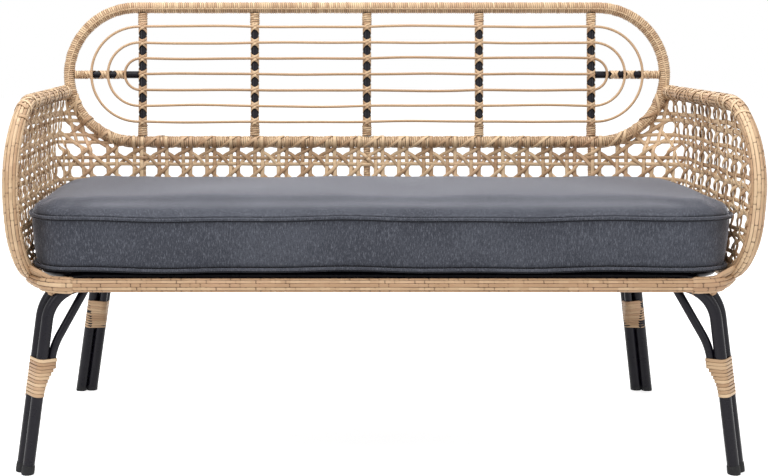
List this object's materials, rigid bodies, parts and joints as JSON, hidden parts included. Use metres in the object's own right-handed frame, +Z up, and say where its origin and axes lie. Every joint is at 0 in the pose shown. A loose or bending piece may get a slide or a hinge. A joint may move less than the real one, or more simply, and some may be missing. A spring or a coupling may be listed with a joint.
{
  "type": "rattan garden sofa",
  "caption": "Two-seat garden sofa of wrapped tube and open woven cane on paired splayed leg arches, with a leaning rounded back frame and a loose box cushion.",
  "frame": {"origin": "on the floor, under the middle of the bench from left to right and from front to back", "axes": "+X to the right as seen from the front, +Y from the front to the back, +Z up"},
  "size_m": [1.3758, 0.6692, 0.8818],
  "materials": {
    "wrapped_tube": "natural tan strips wound round steel tube",
    "cane": "flat natural tan strips, woven open or wound",
    "steel_tube": "near-black powder coat with a soft gloss",
    "foot_rubber": "matt black",
    "seat_mesh": "dark coarse net",
    "cushion_cloth": "slate grey woven outdoor cloth with piping in the same cloth"
  },
  "bodies": {
    "bench": {"back_frame": "wrapped_tube", "back_bar_1": "steel_tube", "back_bar_2": "steel_tube", "back_bar_3": "steel_tube", "back_bar_4": "steel_tube", "back_bar_5": "steel_tube", "left_back_stub": "steel_tube", "right_back_stub": "steel_tube", "cane_loop_1": "cane", "cane_loop_2": "cane", "cane_loop_3": "cane", "cane_middle_strand": "cane", "left_arm_hoop": "wrapped_tube", "right_arm_hoop": "wrapped_tube", "back_bottom_rail": "wrapped_tube", "left_back_post": "wrapped_tube", "middle_back_post": "wrapped_tube", "right_back_post": "wrapped_tube", "left_arm_cane": "cane", "left_corner_cane": "cane", "left_back_cane": "cane", "right_arm_cane": "cane", "right_corner_cane": "cane", "right_back_cane": "cane", "front_leg_arch_outer": "steel_tube", "front_left_foot_cap_outer": "foot_rubber", "front_right_foot_cap_outer": "foot_rubber", "front_leg_arch_inner": "steel_tube", "front_left_foot_cap_inner": "foot_rubber", "front_right_foot_cap_inner": "foot_rubber", "front_left_brace": "steel_tube", "front_left_leg_binding": "cane", "front_right_brace": "steel_tube", "front_right_leg_binding": "cane", "rear_leg_arch_outer": "steel_tube", "rear_left_foot_cap_outer": "foot_rubber", "rear_right_foot_cap_outer": "foot_rubber", "rear_leg_arch_inner": "steel_tube", "rear_left_foot_cap_inner": "foot_rubber", "rear_right_foot_cap_inner": "foot_rubber", "rear_left_brace": "steel_tube", "rear_left_leg_binding": "cane", "rear_right_brace": "steel_tube", "rear_right_leg_binding": "cane", "front_rail": "wrapped_tube", "left_corner_wrap": "wrapped_tube", "right_corner_wrap": "wrapped_tube", "seat_frame": "steel_tube", "seat_net": "seat_mesh"},
    "cushion": {"seat_cushion": "cushion_cloth"}
  },
  "joints": [
    {"name": "cushion_lift", "type": "slide", "parent": "bench", "child": "cushion", "axis": [0, 0, 1], "range_m": [0, 0.15]}
  ]
}
